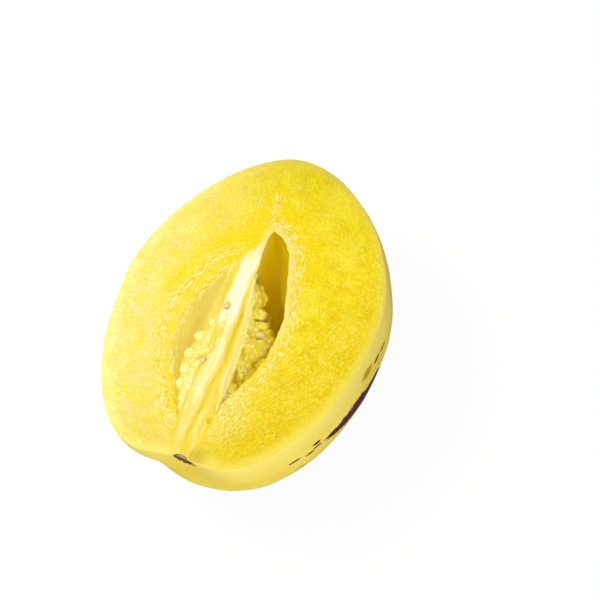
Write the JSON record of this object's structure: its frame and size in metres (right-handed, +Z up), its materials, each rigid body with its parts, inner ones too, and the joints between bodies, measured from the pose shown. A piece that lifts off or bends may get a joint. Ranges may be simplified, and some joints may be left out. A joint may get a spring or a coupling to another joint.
{
  "type": "pepino melon half",
  "caption": "Half of a striped pepino melon cut lengthwise, lying on its rounded back with its seed chambers open to the top.",
  "frame": {"origin": "centre of the bounding box at its base, on the surface that the half rests on", "axes": "+Y along the fruit's long axis from the stem end to the blossom end; +Z up, out of the cut face; +X towards the deeper seed chamber"},
  "size_m": [0.0864, 0.1074, 0.0461],
  "materials": {
    "melon": "juicy yellow flesh, wet sheen; outside a satin waxy golden skin with dark purple streaks",
    "bare_seed": "smooth tan seed coat, satin",
    "pulp_seed": "seed in wet translucent pale yellow pulp, glossy"
  },
  "bodies": {
    "root": {"melon_half": "melon", "bare_seed_1": "bare_seed", "bare_seed_2": "bare_seed", "shallow_chamber_seed_1": "pulp_seed", "shallow_chamber_seed_2": "pulp_seed", "shallow_chamber_seed_3": "pulp_seed", "shallow_chamber_seed_4": "pulp_seed", "shallow_chamber_seed_5": "pulp_seed", "shallow_chamber_seed_6": "pulp_seed", "deep_chamber_seed_1": "pulp_seed", "deep_chamber_seed_2": "pulp_seed", "deep_chamber_seed_3": "pulp_seed", "deep_chamber_seed_4": "pulp_seed", "deep_chamber_seed_5": "pulp_seed", "deep_chamber_seed_6": "pulp_seed", "deep_chamber_seed_7": "pulp_seed"}
  },
  "joints": []
}
